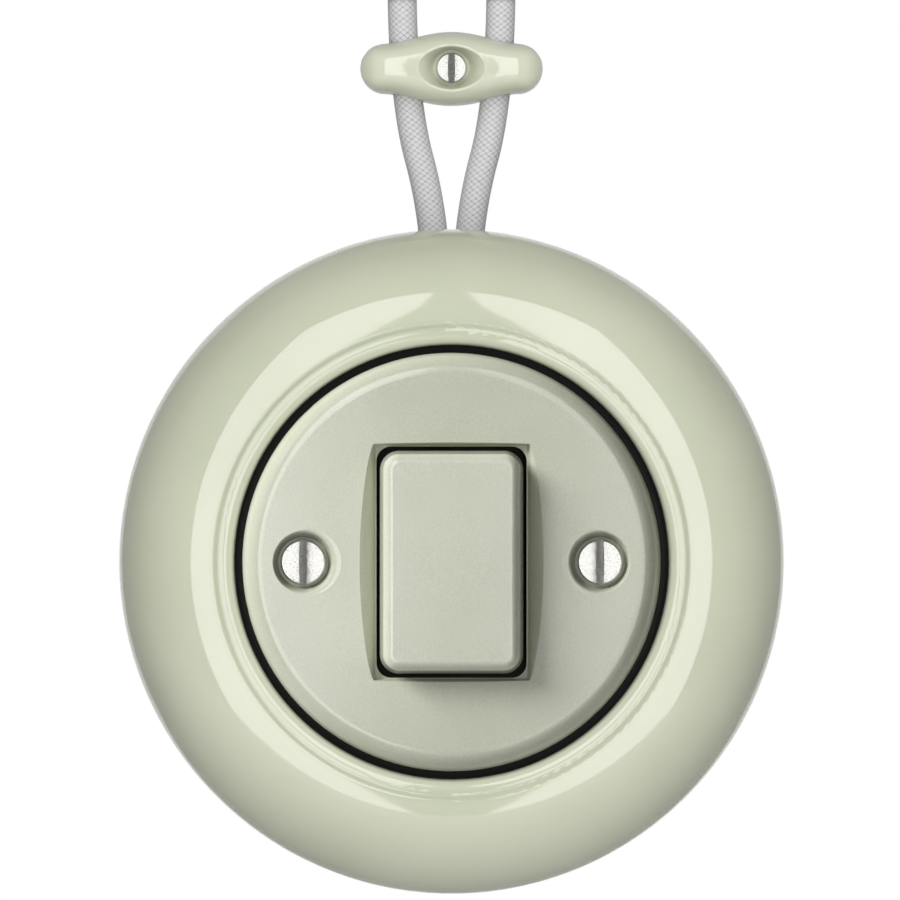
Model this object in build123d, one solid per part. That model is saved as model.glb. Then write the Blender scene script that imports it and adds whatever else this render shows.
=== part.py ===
from build123d import *
import math
import os

# Porcelain surface switch with a tall push button, fed from above by two
# textile-covered wires that pass under a porcelain cleat.
# The wall is the plane Y = 0 and the object stands in front of it, towards -Y.
# X runs to the right and Z up. The origin is the middle of the back, on the wall.
# A height is a distance from the wall. All sizes are in millimetres.

# Housing ring
body_radius = 50.0
ring_height = 36.0
crown_width = 3.6
foot_inset = 2.4
shoulder_radius = 1.0
groove_radius = 0.8
bead_radius = 1.8
bead_drop = 0.4
ring_wall = 4.5
ledge_width = 3.5
ledge_thickness = 4.0
ledge_depth = 10.5
entry_reach = 8.5

# Cover disc
disc_gap = 1.05
disc_margin = 9.15
disc_proud = 1.6
dome_radius = 900.0
disc_wall = 4.0
disc_edge_round = 3.1
disc_rim_wall = 3.2
disc_rim_gap = 2.5
cover_screw_gap = 0.95
cover_boss_radius = 4.5
recess_seat_radius = 3.75
recess_flare = 18.0
recess_lip_slope = 10.0
recess_lip_run = 2.0
recess_hole_play = 0.25
recess_depth = 2.7
recess_round = 0.5

# Button cap
button_width = 21.5
button_length = 33.4
button_corner = 2.9
button_proud = 4.5
button_height = 10.5
button_dome_radius = 600.0
button_draft = 6.0
button_edge_round = 1.5
button_wall = 2.75
button_roof = 3.2
button_side_gap = 0.48
button_end_gap = 0.6
button_travel = 3.0

# Opening for the button
opening_corner = 2.2
opening_collar = 2.0
collar_lift = 1.0
opening_bevel_depth = 2.0
opening_step = 0.1
opening_roll_depth = 0.7
opening_roll_width = 0.32
opening_roll_bow = 1.05
opening_lip_depth = 0.25
opening_lip_width = 0.4
opening_lip_bow = 1.7
opening_edge_width = 0.5
opening_edge_bow = 2.7
opening_bow_reach = 0.8
opening_end_share = 0.1

# Base plate
base_thickness = 3.0
base_gap = 0.4
base_rim_wall = 2.0
base_rim_height = 9.0
wall_screw_spacing = 60.0
wall_slot_width = 4.6
wall_slot_length = 9.0
wall_slot_pad = 2.5
wall_slot_pad_height = 1.2
pillar_radius = 3.6
pillar_gap = 0.3
pillar_side_gap = 0.6
gusset_thickness = 1.8
gusset_length = 10.8
gusset_high_share = 0.5
gusset_low_share = 0.25

# Mounting yoke
yoke_thickness = 1.5
yoke_gap = 0.9
window_gap = 1.6
yoke_tab_width = 7.0
yoke_tab_length = 9.0
yoke_tab_thickness = 1.2
yoke_tab_gap = 0.1
access_hole_radius = 3.2
adjusting_slot_length = 7.0

# Screws
thread_gap = 0.05
cover_screw_radius = 1.7
cover_head_radius = 3.35
cover_head_height = 2.0
cover_screw_length = 14.0
cover_screw_slot = 0.95
yoke_screw_radius = 1.45
yoke_head_radius = 3.0
yoke_head_height = 2.2
yoke_screw_length = 13.0
yoke_screw_slot = 0.9
slot_share = 0.55
head_crown_share = 0.055
head_bevel = 0.2
slot_bevel = 0.15
screw_point = 0.4

# Switch body
switch_depth = 18.0
switch_side_wall = 1.5
switch_end_wall = 2.5
switch_floor = 2.5
partition = 1.5
guide_gap = 0.35
moulded_corner = 1.0
shelf_margin = 0.6
strap_play = 0.2
post_radius = 1.6
post_length = 8.0
nib_width = 3.4
nib_height = 2.4
nib_drop = 4.6
nib_play = 0.3
nib_stand = 1.0

# Button carrier
flange_thickness = 1.6
flange_lip = 1.6
front_stop_gap = 0.3
neck_inset = 1.0
leg_size = 2.9
leg_length = 6.6
pocket_margin = 1.5
pocket_floor = 2.0
stem_radius = 1.9
stem_length = 8.0
spring_spacing = 23.0
spigot_length = 1.2

# Contacts
bridge_thickness = 0.8
bridge_length = 16.6
bridge_width = 5.4
bridge_drop = 5.6
bridge_eye_radius = 3.6
clip_thickness = 0.6
clip_radius = 3.0
clip_seat_radius = 1.3
clip_play = 0.05
clip_mouth = 2.2
eye_play = 0.15
tip_radius = 1.4
tip_height = 0.8
tip_spacing = 12.4
contact_gap = 0.3
strap_thickness = 0.8
strap_width = 4.6

# Springs
spring_wire_sides = 6
return_wire = 0.6
return_mean_radius = 2.45
return_turns = 5
pressure_wire = 0.5
pressure_mean_radius = 2.55
pressure_turns = 3

# Terminals
terminal_width = 5.2
terminal_length = 7.6
terminal_depth = 7.0
terminal_bore_share = 0.33
terminal_gap = 0.4
terminal_screw_radius = 1.45
terminal_head_radius = 2.3
terminal_head_height = 2.0
terminal_screw_play = 0.1
terminal_screw_stand = 0.6
terminal_bevel = 0.4
channel_play = 0.3

# Wires
wire_radius = 2.2
wire_height = 5.7
wire_gap = 0.5
wire_clearance = 0.3
arc_share = 0.45
core_radius = 1.2
conductor_radius = 0.8
bore_play = 0.15
ferrule_wall = 0.5
ferrule_length = 7.0
ferrule_cover = 4.0
ferrule_bevel = 1.0
ferrule_play = 0.02
cleat_wire_spacing = 15.0

# Cleat
cleat_z = 74.5
cleat_length = 27.6
cleat_mid_half = 5.55
cleat_lobe_half = 3.75
cleat_shoulder_power = 0.75
cleat_top_height = 12.4
cleat_flat_half = 7.0
cleat_fall_radius = 17.6
cleat_squareness = 0.71
cleat_crown_share = 0.8
cleat_end_power = 2.6
cleat_split = 0.4
cleat_grip = 0.12
crater_length = 10.1
crater_width = 6.95
crater_seat_radius = 2.75
crater_seat_share = 0.98
crater_depth = 2.5
crater_round = 0.3
cleat_screw_radius = 1.25
cleat_head_radius = 2.3
cleat_head_height = 1.7
cleat_screw_slot = 0.8
cleat_nut_size = 5.0
cleat_nut_thickness = 1.8
cleat_nut_recess = 0.6
cleat_nut_play = 0.15
cleat_hole_play = 0.1

# How far a cut runs past the face it opens
over = 1.0

# Sizes that follow, from the button outwards
ledge_top = ring_height - ledge_depth
yoke_top = ledge_top + yoke_thickness
disc_apex = ring_height + disc_proud
disc_rim_bottom = yoke_top + disc_rim_gap
recess_floor = disc_apex - recess_depth
button_top = disc_apex + button_proud
button_bottom = button_top - button_height
head_roof = button_top - button_roof
opening_bevel_start = disc_apex - opening_bevel_depth
opening_width = button_width + 2 * button_side_gap
opening_length = button_length + 2 * button_end_gap
head_width = button_width - 2 * button_wall
head_length = button_length - 2 * button_wall
neck_width = head_width - 2 * neck_inset
neck_length = head_length - 2 * neck_inset
window_width = neck_width + 2 * window_gap
window_length = neck_length + 2 * window_gap
flange_top = ledge_top - front_stop_gap
flange_bottom = flange_top - flange_thickness
flange_width = window_width + 2 * flange_lip
flange_length = window_length + 2 * flange_lip
cavity_width = flange_width + 2 * guide_gap
cavity_length = flange_length + 2 * guide_gap
switch_back = ledge_top - switch_depth
cavity_floor = switch_back + switch_floor
bridge_top = flange_bottom - bridge_drop
bridge_bottom = bridge_top - bridge_thickness
moving_tip_end = bridge_bottom - tip_height
fixed_tip_end = moving_tip_end - button_travel - contact_gap
strap_top = fixed_tip_end - tip_height
strap_bottom = strap_top - strap_thickness
terminal_top = strap_top + terminal_depth
conductor_height = strap_top + terminal_bore_share * terminal_depth
chamber_width = terminal_width + 2 * terminal_gap
chamber_length = terminal_length + 2 * terminal_gap
terminal_offset = cavity_width / 2 + partition + chamber_width / 2
switch_width = 2 * terminal_offset + chamber_width + 2 * switch_side_wall
switch_length = cavity_length + 2 * switch_end_wall
tab_inner = switch_length / 2 + yoke_tab_gap
pillar_spacing = 2 * (tab_inner + yoke_tab_thickness + pillar_side_gap + pillar_radius)
cover_screw_spacing = switch_width + 2 * (cover_screw_radius + cover_screw_gap)
disc_radius = cover_screw_spacing / 2 + disc_margin
bore_radius = disc_radius + disc_gap
yoke_radius = bore_radius - yoke_gap
crown_radius = bore_radius + crown_width
nose_radius = body_radius - crown_radius
nose_height = ring_height - nose_radius
foot_radius = body_radius - foot_inset
base_radius = foot_radius - ring_wall - base_gap
wire_spacing = 2 * wire_radius + wire_clearance
entry_width = 2 * (2 * wire_radius + wire_gap) + wire_gap
entry_height = wire_height + wire_radius + wire_gap
cleat_base_top = wire_height - cleat_split / 2
cleat_cap_bottom = wire_height + cleat_split / 2

# Routes for the right-hand side: X, height above the wall, Z.
wire_route = [
    (wire_spacing / 2, wire_height, 41.0),
    (wire_spacing / 2, wire_height, 51.5),
    (cleat_wire_spacing / 2, wire_height, 70.5),
    (cleat_wire_spacing / 2, wire_height, 89.0),
]
core_route = [
    (wire_spacing / 2, wire_height, 41.0),
    (wire_spacing / 2, wire_height, 33.0),
    (terminal_offset, conductor_height, 25.0),
    (terminal_offset, conductor_height, terminal_length / 2),
]

# A section is drawn with X as the radius and Y as the height above the wall.
section = Plane(origin=(0, 0, 0), x_dir=(1, 0, 0), z_dir=(0, 0, -1))


def level(height):
    """A plane parallel to the wall, facing the room."""
    return Plane.XZ.offset(height)


def slab(outline, bottom, top):
    """A flat outline (X, Z) given thickness from one height to another."""
    return extrude(level(bottom) * outline, amount=top - bottom)


def at(x, z):
    """A place on the wall."""
    return Pos(x, 0, z)


def at_z(sketch, z):
    """A flat outline moved up the wall."""
    return Pos(0, z, 0) * sketch


def at_x(sketch, x):
    """A flat outline moved along the wall."""
    return Pos(x, 0, 0) * sketch


def turned(edges):
    """A closed section (radius, height) turned about the line square to the wall."""
    return revolve(section * make_face(edges), axis=Axis.Y)


def pin(radius, bottom, top):
    return slab(Circle(radius), bottom, top)


def dome(radius, apex, curve):
    """Height of a spherical face at a radius."""
    return apex - curve + math.sqrt(curve * curve - radius * radius)


def slotted_screw(shank, head, seat, head_height, length, slot_width):
    """A screw with a bevelled, nearly flat head on its seat and one slot right across, upright."""
    crown = head_height * head_crown_share
    edge = head - head_bevel
    curve = (edge * edge + crown * crown) / (2 * crown)
    rim = seat + head_height - crown
    side = Polyline((head, seat), (head, rim - head_bevel), (edge, rim))
    top = ThreePointArc((edge, rim), (edge / 2, dome(edge / 2, rim + crown, curve)), (0, rim + crown))
    tip = seat - length
    rest = Polyline(
        (0, rim + crown),
        (0, tip),
        (shank - screw_point, tip),
        (shank, tip + screw_point),
        (shank, seat),
        (head, seat),
    )
    screw = turned([side, top, rest])
    apex = seat + head_height
    run = 2 * (head + over)
    low = level(apex - slot_bevel) * Rectangle(slot_width, run)
    high = level(apex + over) * Rectangle(slot_width + 2 * (slot_bevel + over), run)
    slot = slab(Rectangle(slot_width, run), apex - head_height * slot_share, apex)
    return screw - slot - loft([low, high])


def coil(wire, mean_radius, bottom, top, turns):
    """An open coil spring of flat-sided wire whose axis is square to the wall."""
    height = top - bottom - wire
    path = Helix(
        pitch=height / turns,
        height=height,
        radius=mean_radius,
        center=(0, -(bottom + wire / 2), 0),
        direction=(0, -1, 0),
    )
    profile = Plane(origin=path @ 0, z_dir=path % 0) * RegularPolygon(wire / 2, spring_wire_sides)
    return sweep(profile, path=path, is_frenet=True)


def housing_ring():
    """Thick porcelain ring, hollow behind, with a bead at its bore and a ledge for the yoke."""
    draft = math.degrees(math.atan(foot_inset / nose_height))
    shoulder_centre = (crown_radius, ring_height - shoulder_radius)
    bead_centre = (bore_radius + bead_radius, ring_height - bead_drop - bead_radius)
    groove_centre = hollow_centre(shoulder_centre, shoulder_radius, bead_centre, bead_radius, groove_radius)
    shoulder_end = heading(shoulder_centre, groove_centre)
    bead_start = heading(bead_centre, groove_centre)
    nose = CenterArc((crown_radius, nose_height), nose_radius, -draft, 90 + draft)
    shoulder = CenterArc(shoulder_centre, shoulder_radius, 90, shoulder_end - 90)
    groove = CenterArc(groove_centre, groove_radius, shoulder_end + 180, bead_start - shoulder_end)
    bead = CenterArc(bead_centre, bead_radius, bead_start, 180 - bead_start)
    inner_nose = nose_radius - ring_wall
    halfway = inner_nose * math.cos(math.pi / 4)
    bore_wall = bore_radius + ring_wall
    ledge_inner = bore_radius - ledge_width
    ledge_bottom = ledge_top - ledge_thickness
    inside = Polyline(
        bead @ 1,
        (bore_radius, ledge_top),
        (ledge_inner, ledge_top),
        (ledge_inner, ledge_bottom),
        (bore_wall, ledge_bottom),
        (bore_wall, nose_height + inner_nose),
        (crown_radius + halfway, nose_height + halfway),
        (crown_radius + inner_nose, nose_height),
        (foot_radius - ring_wall, 0),
        (foot_radius, 0),
        nose @ 0,
    )
    ring = turned([nose, shoulder, groove, bead, inside])
    entry = slab(at_z(Rectangle(entry_width, 2 * entry_reach), foot_radius), -over, entry_height)
    entry = fillet(entry.edges().filter_by(Axis.Z).group_by(Axis.Y)[0], wire_radius)
    return ring - entry


def heading(start, end):
    """The angle, in degrees, from one point of a section to another."""
    return math.degrees(math.atan2(end[1] - start[1], end[0] - start[0]))


def hollow_centre(first, first_radius, second, second_radius, hollow_radius):
    """Centre of the hollow arc that touches two round arcs from above."""
    apart = math.dist(first, second)
    along = ((second[0] - first[0]) / apart, (second[1] - first[1]) / apart)
    reach = first_radius + hollow_radius
    step = (reach**2 - (second_radius + hollow_radius) ** 2 + apart**2) / (2 * apart)
    rise = math.sqrt(reach**2 - step**2)
    return (
        first[0] + step * along[0] + rise * along[1],
        first[1] + step * along[1] - rise * along[0],
    )


def base_plate():
    """Moulded base with an upstand rim, screw pillars with gussets and wall-screw slots."""
    plate = slab(Circle(base_radius), 0, base_thickness)
    rim = slab(Circle(base_radius) - Circle(base_radius - base_rim_wall), 0, base_rim_height)
    entry = at_z(Rectangle(entry_width, 4 * base_rim_wall), base_radius)
    base = plate + (rim - slab(entry, base_thickness, base_rim_height + over))
    pillar_top = ledge_top - pillar_gap
    for side in (1, -1):
        z = side * pillar_spacing / 2
        across = at_z(Rectangle(gusset_length, gusset_thickness), z)
        along = at_z(Rectangle(gusset_thickness, gusset_length), z)
        base += at(0, z) * pin(pillar_radius, base_thickness, pillar_top)
        base += slab(across, base_thickness, pillar_top * gusset_high_share)
        base += slab(along, base_thickness, pillar_top * gusset_low_share)
        pad = SlotOverall(wall_slot_length + 2 * wall_slot_pad, wall_slot_width + 2 * wall_slot_pad)
        pad = at_x(pad, side * wall_screw_spacing / 2)
        base += slab(pad, base_thickness, base_thickness + wall_slot_pad_height)
    for side in (1, -1):
        hole = pin(yoke_screw_radius + thread_gap, yoke_top - yoke_screw_length - over, pillar_top + over)
        base -= at(0, side * pillar_spacing / 2) * hole
        slot = at_x(SlotOverall(wall_slot_length, wall_slot_width), side * wall_screw_spacing / 2)
        base -= slab(slot, -over, base_rim_height)
    return base


def mounting_yoke():
    """Round steel plate on the ring's ledge, with two bent tabs that snap on the switch body."""
    outline = Circle(yoke_radius) - RectangleRounded(window_width, window_length, window_gap)
    for side in (1, -1):
        outline -= at_x(Circle(cover_screw_radius + thread_gap), side * cover_screw_spacing / 2)
        slot = SlotOverall(adjusting_slot_length, 2 * (yoke_screw_radius + pillar_gap))
        outline -= at_z(slot, side * pillar_spacing / 2)
        outline -= at_x(Circle(access_hole_radius), side * terminal_offset)
    yoke = slab(outline, ledge_top, yoke_top)
    for side in (1, -1):
        z = side * (tab_inner + yoke_tab_thickness / 2)
        tab = at_z(Rectangle(yoke_tab_width, yoke_tab_thickness), z)
        tab = slab(tab, ledge_top - yoke_tab_length, ledge_top)
        high = ledge_top - nib_drop + nib_play
        low = high - nib_height - 2 * nib_play
        window = at_z(Rectangle(nib_width + 2 * nib_play, 4 * yoke_tab_thickness), z)
        yoke += tab - slab(window, low, high)
    return yoke


def yoke_screws():
    """Two screws through the yoke's slots into the pillars."""
    screw = slotted_screw(
        yoke_screw_radius, yoke_head_radius, yoke_top, yoke_head_height, yoke_screw_length, yoke_screw_slot
    )
    return [at(0, side * pillar_spacing / 2) * screw for side in (1, -1)]


def cover_disc():
    """Domed porcelain disc with a rim, a collar round the button and two screw bosses."""
    edge = dome(disc_radius, disc_apex, dome_radius)
    inner = disc_radius - disc_rim_wall
    under_apex = disc_apex - disc_wall
    under_edge = dome(inner, under_apex, dome_radius)
    half = disc_radius / 2
    face = ThreePointArc((0, disc_apex), (half, dome(half, disc_apex, dome_radius)), (disc_radius, edge))
    under = ThreePointArc((inner, under_edge), (half, dome(half, under_apex, dome_radius)), (0, under_apex))
    foot = Polyline((disc_radius, disc_rim_bottom), (inner, disc_rim_bottom))
    rim = Line((disc_radius, edge), foot @ 0) + foot + Line(foot @ 1, (inner, under_edge))
    axis = Line((0, under_apex), (0, disc_apex))
    profile = make_face([face, rim, under, axis])
    corner = profile.vertices().sort_by_distance((disc_radius, edge, 0))[0]
    profile = fillet(corner, disc_edge_round)
    disc = revolve(section * profile, axis=Axis.Y)
    collar = offset(RectangleRounded(opening_width, opening_length, opening_corner), opening_collar)
    disc += slab(collar, disc_rim_bottom + collar_lift, opening_bevel_start)
    for side in (1, -1):
        x = side * cover_screw_spacing / 2
        disc += at(x, 0) * pin(cover_boss_radius, yoke_top, recess_floor)
    disc -= slab(RectangleRounded(opening_width, opening_length, opening_corner), yoke_top, button_top)
    disc -= opening_bevel()
    for side in (1, -1):
        disc -= at(side * cover_screw_spacing / 2, 0) * screw_recess()
    return disc


def screw_recess():
    """The flared recess with a rolled lip, and the through hole, that a cover screw needs."""
    hole = cover_screw_radius + recess_hole_play
    face = dome(cover_screw_spacing / 2, disc_apex, dome_radius)
    flare = math.radians(recess_flare)
    wall_top = face - recess_round * (1 - math.sin(flare))
    wall_radius = recess_seat_radius + (wall_top - recess_floor) * math.tan(flare)
    lip_centre = (wall_radius + recess_round * math.cos(flare), face - recess_round)
    lip = CenterArc(lip_centre, recess_round, 180 - recess_flare, recess_flare - 90 - recess_lip_slope)
    mouth = (lip @ 1).X + recess_lip_run
    rise = recess_lip_run * math.tan(math.radians(recess_lip_slope))
    outline = Polyline(
        lip @ 1,
        (mouth, (lip @ 1).Y + rise),
        (mouth, face + recess_depth),
        (0, face + recess_depth),
        (0, yoke_top - over),
        (hole, yoke_top - over),
        (hole, recess_floor),
        (recess_seat_radius, recess_floor),
        lip @ 0,
    )
    return turned([lip, outline])


def bowed_outline(height, margin, bow):
    """The opening's outline at a height, widened by a margin, its sides bowed outwards."""
    x = opening_width / 2 + margin
    z = opening_length / 2 + margin
    side_pull = x + bow * 4 / 3
    side_reach = z * opening_bow_reach
    end_bow = bow * opening_end_share
    outline = make_face([
        ThreePointArc((-x, -z), (0, -z - end_bow), (x, -z)),
        Bezier((x, -z), (side_pull, -side_reach), (side_pull, side_reach), (x, z)),
        ThreePointArc((x, z), (0, z + end_bow), (-x, z)),
        Bezier((-x, z), (-side_pull, side_reach), (-side_pull, -side_reach), (-x, -z)),
    ])
    return level(height) * outline


def opening_bevel():
    """The rolled edge of the opening: steep near the button, then nearly flat, widest at mid-side."""
    low = bowed_outline(opening_bevel_start, opening_step, opening_step)
    roll = bowed_outline(disc_apex - opening_roll_depth, opening_roll_width, opening_roll_bow)
    lip = bowed_outline(disc_apex - opening_lip_depth, opening_lip_width, opening_lip_bow)
    edge = bowed_outline(disc_apex, opening_edge_width, opening_edge_bow)
    return loft([low, roll, lip, edge])


def cover_screws():
    """Two screws through the disc into the yoke."""
    screw = slotted_screw(
        cover_screw_radius,
        cover_head_radius,
        recess_floor,
        cover_head_height,
        cover_screw_length,
        cover_screw_slot,
    )
    return [at(side * cover_screw_spacing / 2, 0) * screw for side in (-1, 1)]


def button_cap():
    """Porcelain cap: straight skirt, drafted sides, slightly domed face, rounded edges, hollow behind."""
    outline = RectangleRounded(button_width, button_length, button_corner)
    draft_start = opening_bevel_start
    cap = slab(outline, button_bottom, draft_start)
    cap += extrude(level(draft_start) * outline, amount=button_top - draft_start + over, taper=button_draft)
    cap &= Pos(0, button_dome_radius - button_top, 0) * Sphere(button_dome_radius)
    front = [edge for edge in cap.edges() if -edge.center().Y > button_top - button_edge_round]
    cap = fillet(front, button_edge_round)
    hollow = RectangleRounded(head_width, head_length, moulded_corner)
    return cap - slab(hollow, button_bottom - over, head_roof)


def button_carrier():
    """Moulded carrier: head in the cap, neck in the yoke's window, stop flange, guide legs and stem."""
    head = slab(RectangleRounded(head_width, head_length, moulded_corner), button_bottom, head_roof)
    neck = slab(RectangleRounded(neck_width, neck_length, moulded_corner), flange_top, button_bottom)
    plate = RectangleRounded(flange_width, flange_length, moulded_corner)
    flange = slab(plate, flange_bottom, flange_top)
    carrier = head + neck + flange
    for side in (1, -1):
        pocket_length = neck_length / 2 - 2 * pocket_margin
        pocket = RectangleRounded(neck_width - 2 * pocket_margin, pocket_length, moulded_corner)
        carrier -= slab(at_z(pocket, side * neck_length / 4), flange_top + pocket_floor, head_roof)
        carrier += at(0, side * spring_spacing / 2) * pin(
            post_radius, flange_bottom - spigot_length, flange_bottom
        )
    legs = slab(plate, flange_bottom - leg_length, flange_bottom)
    legs -= slab(Rectangle(flange_width + over, flange_length - 2 * leg_size), 0, flange_bottom)
    legs -= slab(Rectangle(flange_width - 2 * leg_size, flange_length + over), 0, flange_bottom)
    carrier += legs
    stem_end = flange_bottom - stem_length
    carrier += pin(stem_radius, stem_end, flange_bottom)
    groove = Circle(2 * stem_radius) - Circle(clip_seat_radius)
    return carrier - slab(groove, bridge_bottom - clip_thickness - clip_play, bridge_bottom)


def contact_bridge():
    """Springy strip that bridges the two fixed contacts, with an eye on the carrier's stem."""
    outline = SlotOverall(bridge_length, bridge_width) + Circle(bridge_eye_radius)
    return slab(outline - Circle(stem_radius + eye_play), bridge_bottom, bridge_top)


def contact_tips(bottom, top):
    """Two silver tips on the same spacing."""
    return [at(side * tip_spacing / 2, 0) * pin(tip_radius, bottom, top) for side in (1, -1)]


def plunger_clip():
    """Open retaining ring in the stem's groove, under the bridge."""
    ring = Circle(clip_radius) - Circle(clip_seat_radius + clip_play)
    mouth = at_z(Rectangle(clip_mouth, 2 * clip_radius), -clip_radius)
    return slab(ring - mouth, bridge_bottom - clip_thickness, bridge_bottom)


def return_springs():
    """Two springs between the switch body's floor and the carrier's flange."""
    spring = coil(return_wire, return_mean_radius, cavity_floor, flange_bottom, return_turns)
    return [at(0, side * spring_spacing / 2) * spring for side in (1, -1)]


def contact_spring():
    """Spring that presses the bridge on its clip."""
    return coil(pressure_wire, pressure_mean_radius, bridge_top, flange_bottom, pressure_turns)


def switch_body():
    """Moulded body: a well for the carrier, and on each side a chamber for a terminal."""
    body = slab(RectangleRounded(switch_width, switch_length, 2 * moulded_corner), switch_back, ledge_top)
    well = RectangleRounded(cavity_width, cavity_length, moulded_corner)
    body -= slab(well, cavity_floor, ledge_top + over)
    for side in (1, -1):
        x = side * terminal_offset
        body -= slab(at_x(Rectangle(chamber_width, chamber_length), x), strap_bottom, ledge_top + over)
        passage = at_x(Rectangle(terminal_offset, strap_width + 2 * strap_play), x / 2)
        body -= slab(passage, strap_bottom, ledge_top + over)
        shelf_start = tip_spacing / 2 - tip_radius - shelf_margin
        shelf_size = cavity_width / 2 - shelf_start
        shelf = Rectangle(shelf_size, strap_width + 2 * shelf_margin)
        body += slab(at_x(shelf, side * (shelf_start + shelf_size / 2)), cavity_floor, strap_bottom)
        post = pin(post_radius, cavity_floor, cavity_floor + post_length)
        body += at(0, side * spring_spacing / 2) * post
        body += snap_nib(side)
        channel = Cylinder(core_radius + channel_play, switch_length / 2)
        body -= Pos(x, -conductor_height, switch_length / 4 + chamber_length / 4) * channel
    return body


def snap_nib(side):
    """Wedge on the top or bottom of the switch body that catches in a yoke tab."""
    high = ledge_top - nib_drop
    wedge = Polyline(
        (-high, 0), (-high, nib_stand), (-high + nib_height, 0), (-high, 0)
    )
    profile = Plane(origin=(-nib_width / 2, 0, 0), x_dir=(0, 1, 0), z_dir=(1, 0, 0)) * make_face(wedge)
    nib = Pos(0, 0, switch_length / 2) * extrude(profile, amount=nib_width)
    if side > 0:
        return nib
    return mirror(nib, about=Plane.XY)


def fixed_contact(side):
    """Copper strap from under the contact tip to under the terminal."""
    inner = tip_spacing / 2 - tip_radius - strap_play
    outer = terminal_offset + terminal_width / 2
    strap = at_x(RectangleRounded(outer - inner, strap_width, strap_thickness), side * (inner + outer) / 2)
    return slab(strap, strap_bottom, strap_top)


def terminal(side):
    """Brass block with a cross bore for the conductor and a tapped hole for its clamp screw."""
    x = side * terminal_offset
    block = slab(at_x(Rectangle(terminal_width, terminal_length), x), strap_top, terminal_top)
    block = chamfer(block.edges().group_by(Axis.Y)[0], terminal_bevel)
    block -= Pos(x, -conductor_height, 0) * Cylinder(conductor_radius + bore_play, terminal_length + over)
    hole = pin(terminal_screw_radius + thread_gap, conductor_height, terminal_top + over)
    return block - at(x, 0) * hole


def terminal_screws():
    """Two clamp screws whose tips press on the conductors."""
    tip = conductor_height + conductor_radius + terminal_screw_play
    seat = terminal_top + terminal_screw_stand
    screw = slotted_screw(
        terminal_screw_radius, terminal_head_radius, seat, terminal_head_height, seat - tip, yoke_screw_slot
    )
    return [at(side * terminal_offset, 0) * screw for side in (1, -1)]


def route_path(route, side):
    """Straight runs joined by tangent arcs, each as large as its two runs allow."""
    points = [Vector(side * x, -height, z) for x, height, z in route]
    radii = []
    for before, corner, after in zip(points, points[1:], points[2:]):
        turn = math.radians((corner - before).get_angle(after - corner))
        run = min((corner - before).length, (after - corner).length)
        radii.append(arc_share * run / math.tan(turn / 2))
    print("bend radii", [round(radius, 1) for radius in radii])
    return FilletPolyline(*points, radius=radii)


def tube(route, side, radius):
    """A round tube along a route."""
    path = route_path(route, side)
    profile = Plane(origin=path @ 0, z_dir=path % 0) * Circle(radius)
    solid = sweep(profile, path=path)
    share = solid.volume / (math.pi * radius**2 * path.length)
    print("length", round(path.length, 1), "volume share", round(share, 3))
    return solid


def conductor_tips():
    """The bare ends of the two cores, inside the terminals."""
    length = terminal_length - conductor_radius
    z = conductor_radius / 2
    tip = Cylinder(conductor_radius, length)
    return [Pos(side * terminal_offset, -conductor_height, z) * tip for side in (1, -1)]


def end_ferrules():
    """Crimped sleeves, closed at the top, over the far ends of the wires."""
    end_x, end_height, end_z = wire_route[-1]
    sleeve = Cylinder(wire_radius + ferrule_wall, ferrule_length)
    sleeve = chamfer(sleeve.edges().group_by(Axis.Z)[-1], ferrule_bevel)
    sleeve = Pos(0, 0, ferrule_length / 2) * sleeve
    sleeve -= Pos(0, 0, ferrule_cover / 2) * Cylinder(wire_radius + ferrule_play, ferrule_cover)
    start = end_z - ferrule_cover
    return [Pos(side * end_x, -end_height, start) * sleeve for side in (1, -1)]


def cleat_half_width(x):
    """Half the cleat's height on the wall at a distance from its middle."""
    end_centre = cleat_length / 2 - cleat_lobe_half
    x = abs(x)
    if x > end_centre:
        return math.sqrt(max(cleat_lobe_half**2 - (x - end_centre) ** 2, 0))
    wave = max(0.5 + 0.5 * math.cos(math.pi * x / end_centre), 0)
    return cleat_lobe_half + (cleat_mid_half - cleat_lobe_half) * wave**cleat_shoulder_power


def cleat_thickness(x):
    """How far the cleat's top half stands above its split at a distance from its middle."""
    fall = max(abs(x) - cleat_flat_half, 0) ** 2 / (2 * cleat_fall_radius)
    height = cleat_top_height - cleat_cap_bottom - fall
    end_centre = cleat_length / 2 - cleat_lobe_half
    if abs(x) > end_centre:
        reach = (abs(x) - end_centre) / cleat_lobe_half
        height *= math.sqrt(max(1 - reach**cleat_end_power, 0))
    return height


def cleat_section(x):
    """A flat-bottomed, softly crowned section of the cleat's top half."""
    half = cleat_half_width(x)
    tall = cleat_thickness(x)
    shoulder = cleat_squareness * tall
    crown = cleat_crown_share * half
    right = Bezier((half, 0), (half, shoulder), (crown, tall), (0, tall))
    left = Bezier((0, tall), (-crown, tall), (-half, shoulder), (-half, 0))
    floor = Line((-half, 0), (half, 0))
    place = Plane(origin=(x, -cleat_cap_bottom, cleat_z), x_dir=(0, 0, 1), z_dir=(1, 0, 0))
    return place * make_face([right, left, floor])


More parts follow.
